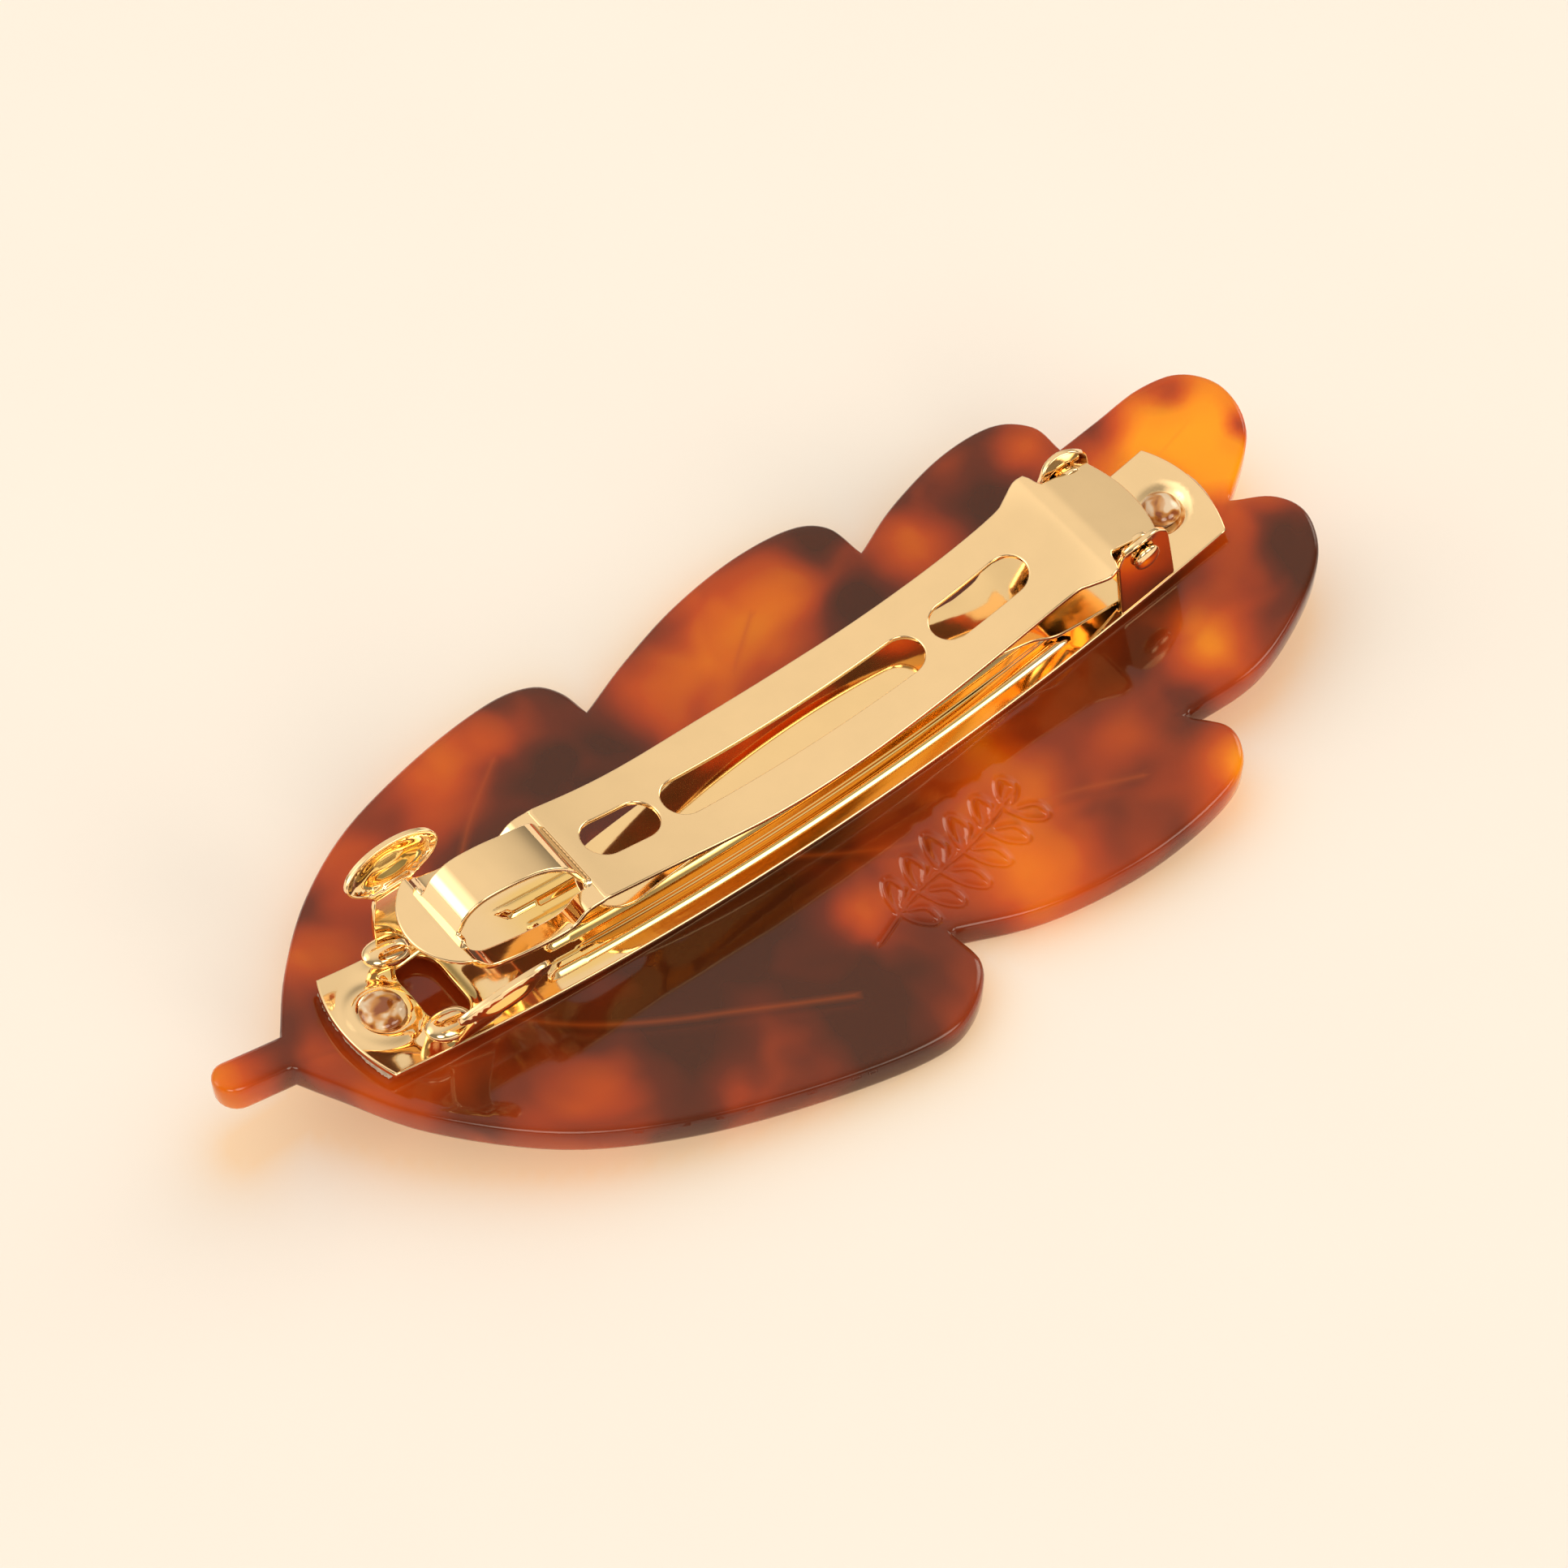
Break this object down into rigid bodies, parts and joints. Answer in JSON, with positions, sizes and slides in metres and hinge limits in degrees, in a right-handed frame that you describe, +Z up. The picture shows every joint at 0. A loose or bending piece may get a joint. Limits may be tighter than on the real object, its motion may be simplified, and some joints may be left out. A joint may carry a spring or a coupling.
{
  "type": "barrette",
  "caption": "Leaf-shaped acetate hair barrette with a bowed metal French clip, squeeze catch, slotted clamp arm and tension spring.",
  "frame": {"origin": "on the table under the middle of the leaf's bounding box, at the lowest line of its bowed face", "axes": "+X along the clip from the catch to the hinge, +Y across the clip, +Z up, from the leaf to the clip"},
  "size_m": [0.1002, 0.0456, 0.0189],
  "materials": {
    "tortoiseshell_acetate": "polished",
    "glue": "matte",
    "clear_resin": "gloss",
    "gold_plated_steel": "polished",
    "gold_plated_spring": "polished"
  },
  "bodies": {
    "leaf_and_base": {"leaf_plate": "tortoiseshell_acetate", "glue_bed_latch_end": "glue", "glue_bed_hinge_end": "glue", "resin_rivet_latch_end": "clear_resin", "resin_rivet_hinge_end": "clear_resin", "base_bar": "gold_plated_steel"},
    "arm": {"clamp_arm": "gold_plated_steel"},
    "spring": {"tension_spring": "gold_plated_spring"},
    "finger_front": {"latch_finger_front": "gold_plated_steel"},
    "finger_back": {"latch_finger_back": "gold_plated_steel"}
  },
  "joints": [
    {"name": "arm_hinge", "type": "hinge", "parent": "leaf_and_base", "child": "arm", "pos_m": [0.03246, 0.0017, 0.01315], "axis": [0, 1, 0], "range_deg": [0, 110]},
    {"name": "spring_flex", "type": "hinge", "parent": "leaf_and_base", "child": "spring", "pos_m": [0.03051, 0.0017, 0.0073], "axis": [0, 1, 0], "range_deg": [-1.6, 0], "stiffness_Nm_per_rad": 0.5},
    {"name": "finger_front_squeeze", "type": "hinge", "parent": "leaf_and_base", "child": "finger_front", "pos_m": [-0.03169, -0.0031, 0.0076], "axis": [-1, 0, 0], "range_deg": [0, 8], "stiffness_Nm_per_rad": 0.2},
    {"name": "finger_back_squeeze", "type": "hinge", "parent": "leaf_and_base", "child": "finger_back", "pos_m": [-0.03169, 0.00651, 0.0076], "axis": [1, 0, 0], "range_deg": [0, 8], "stiffness_Nm_per_rad": 0.2}
  ]
}
